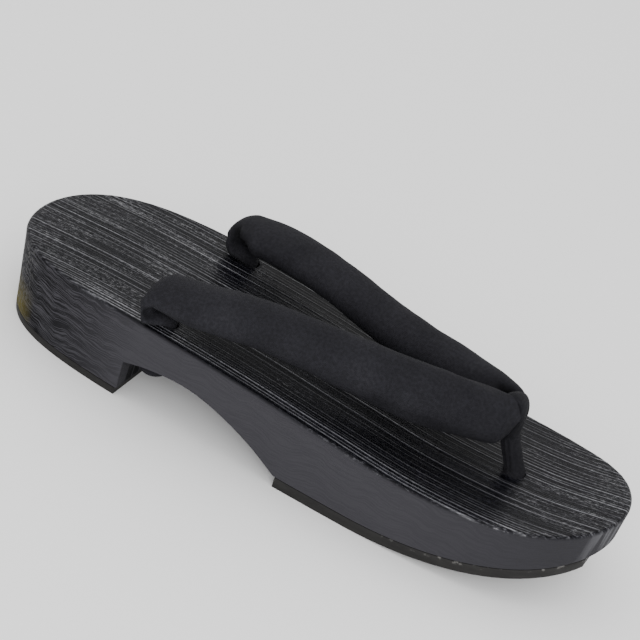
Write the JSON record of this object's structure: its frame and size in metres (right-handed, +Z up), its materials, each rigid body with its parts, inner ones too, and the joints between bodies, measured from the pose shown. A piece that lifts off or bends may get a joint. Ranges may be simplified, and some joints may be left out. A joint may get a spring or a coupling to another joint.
{
  "type": "geta sandal",
  "caption": "Low wooden geta sandal with a scooped waist, rubber sheets under heel and forefoot, and a padded black cloth thong with a front loop.",
  "frame": {"origin": "on the ground, under the middle of the sandal's length and width", "axes": "+X towards the toe, +Y towards the wearer's left, +Z up"},
  "size_m": [0.2398, 0.088, 0.0588],
  "materials": {
    "black_wood": "burnt and brushed black, satin, raised grain on the deck",
    "black_rubber": "matte",
    "black_cloth": "matte plain weave over soft padding"
  },
  "bodies": {
    "root": {"wooden_base": "black_wood", "heel_outsole": "black_rubber", "forefoot_outsole": "black_rubber", "thong_strap": "black_cloth", "front_loop": "black_cloth"}
  },
  "joints": []
}
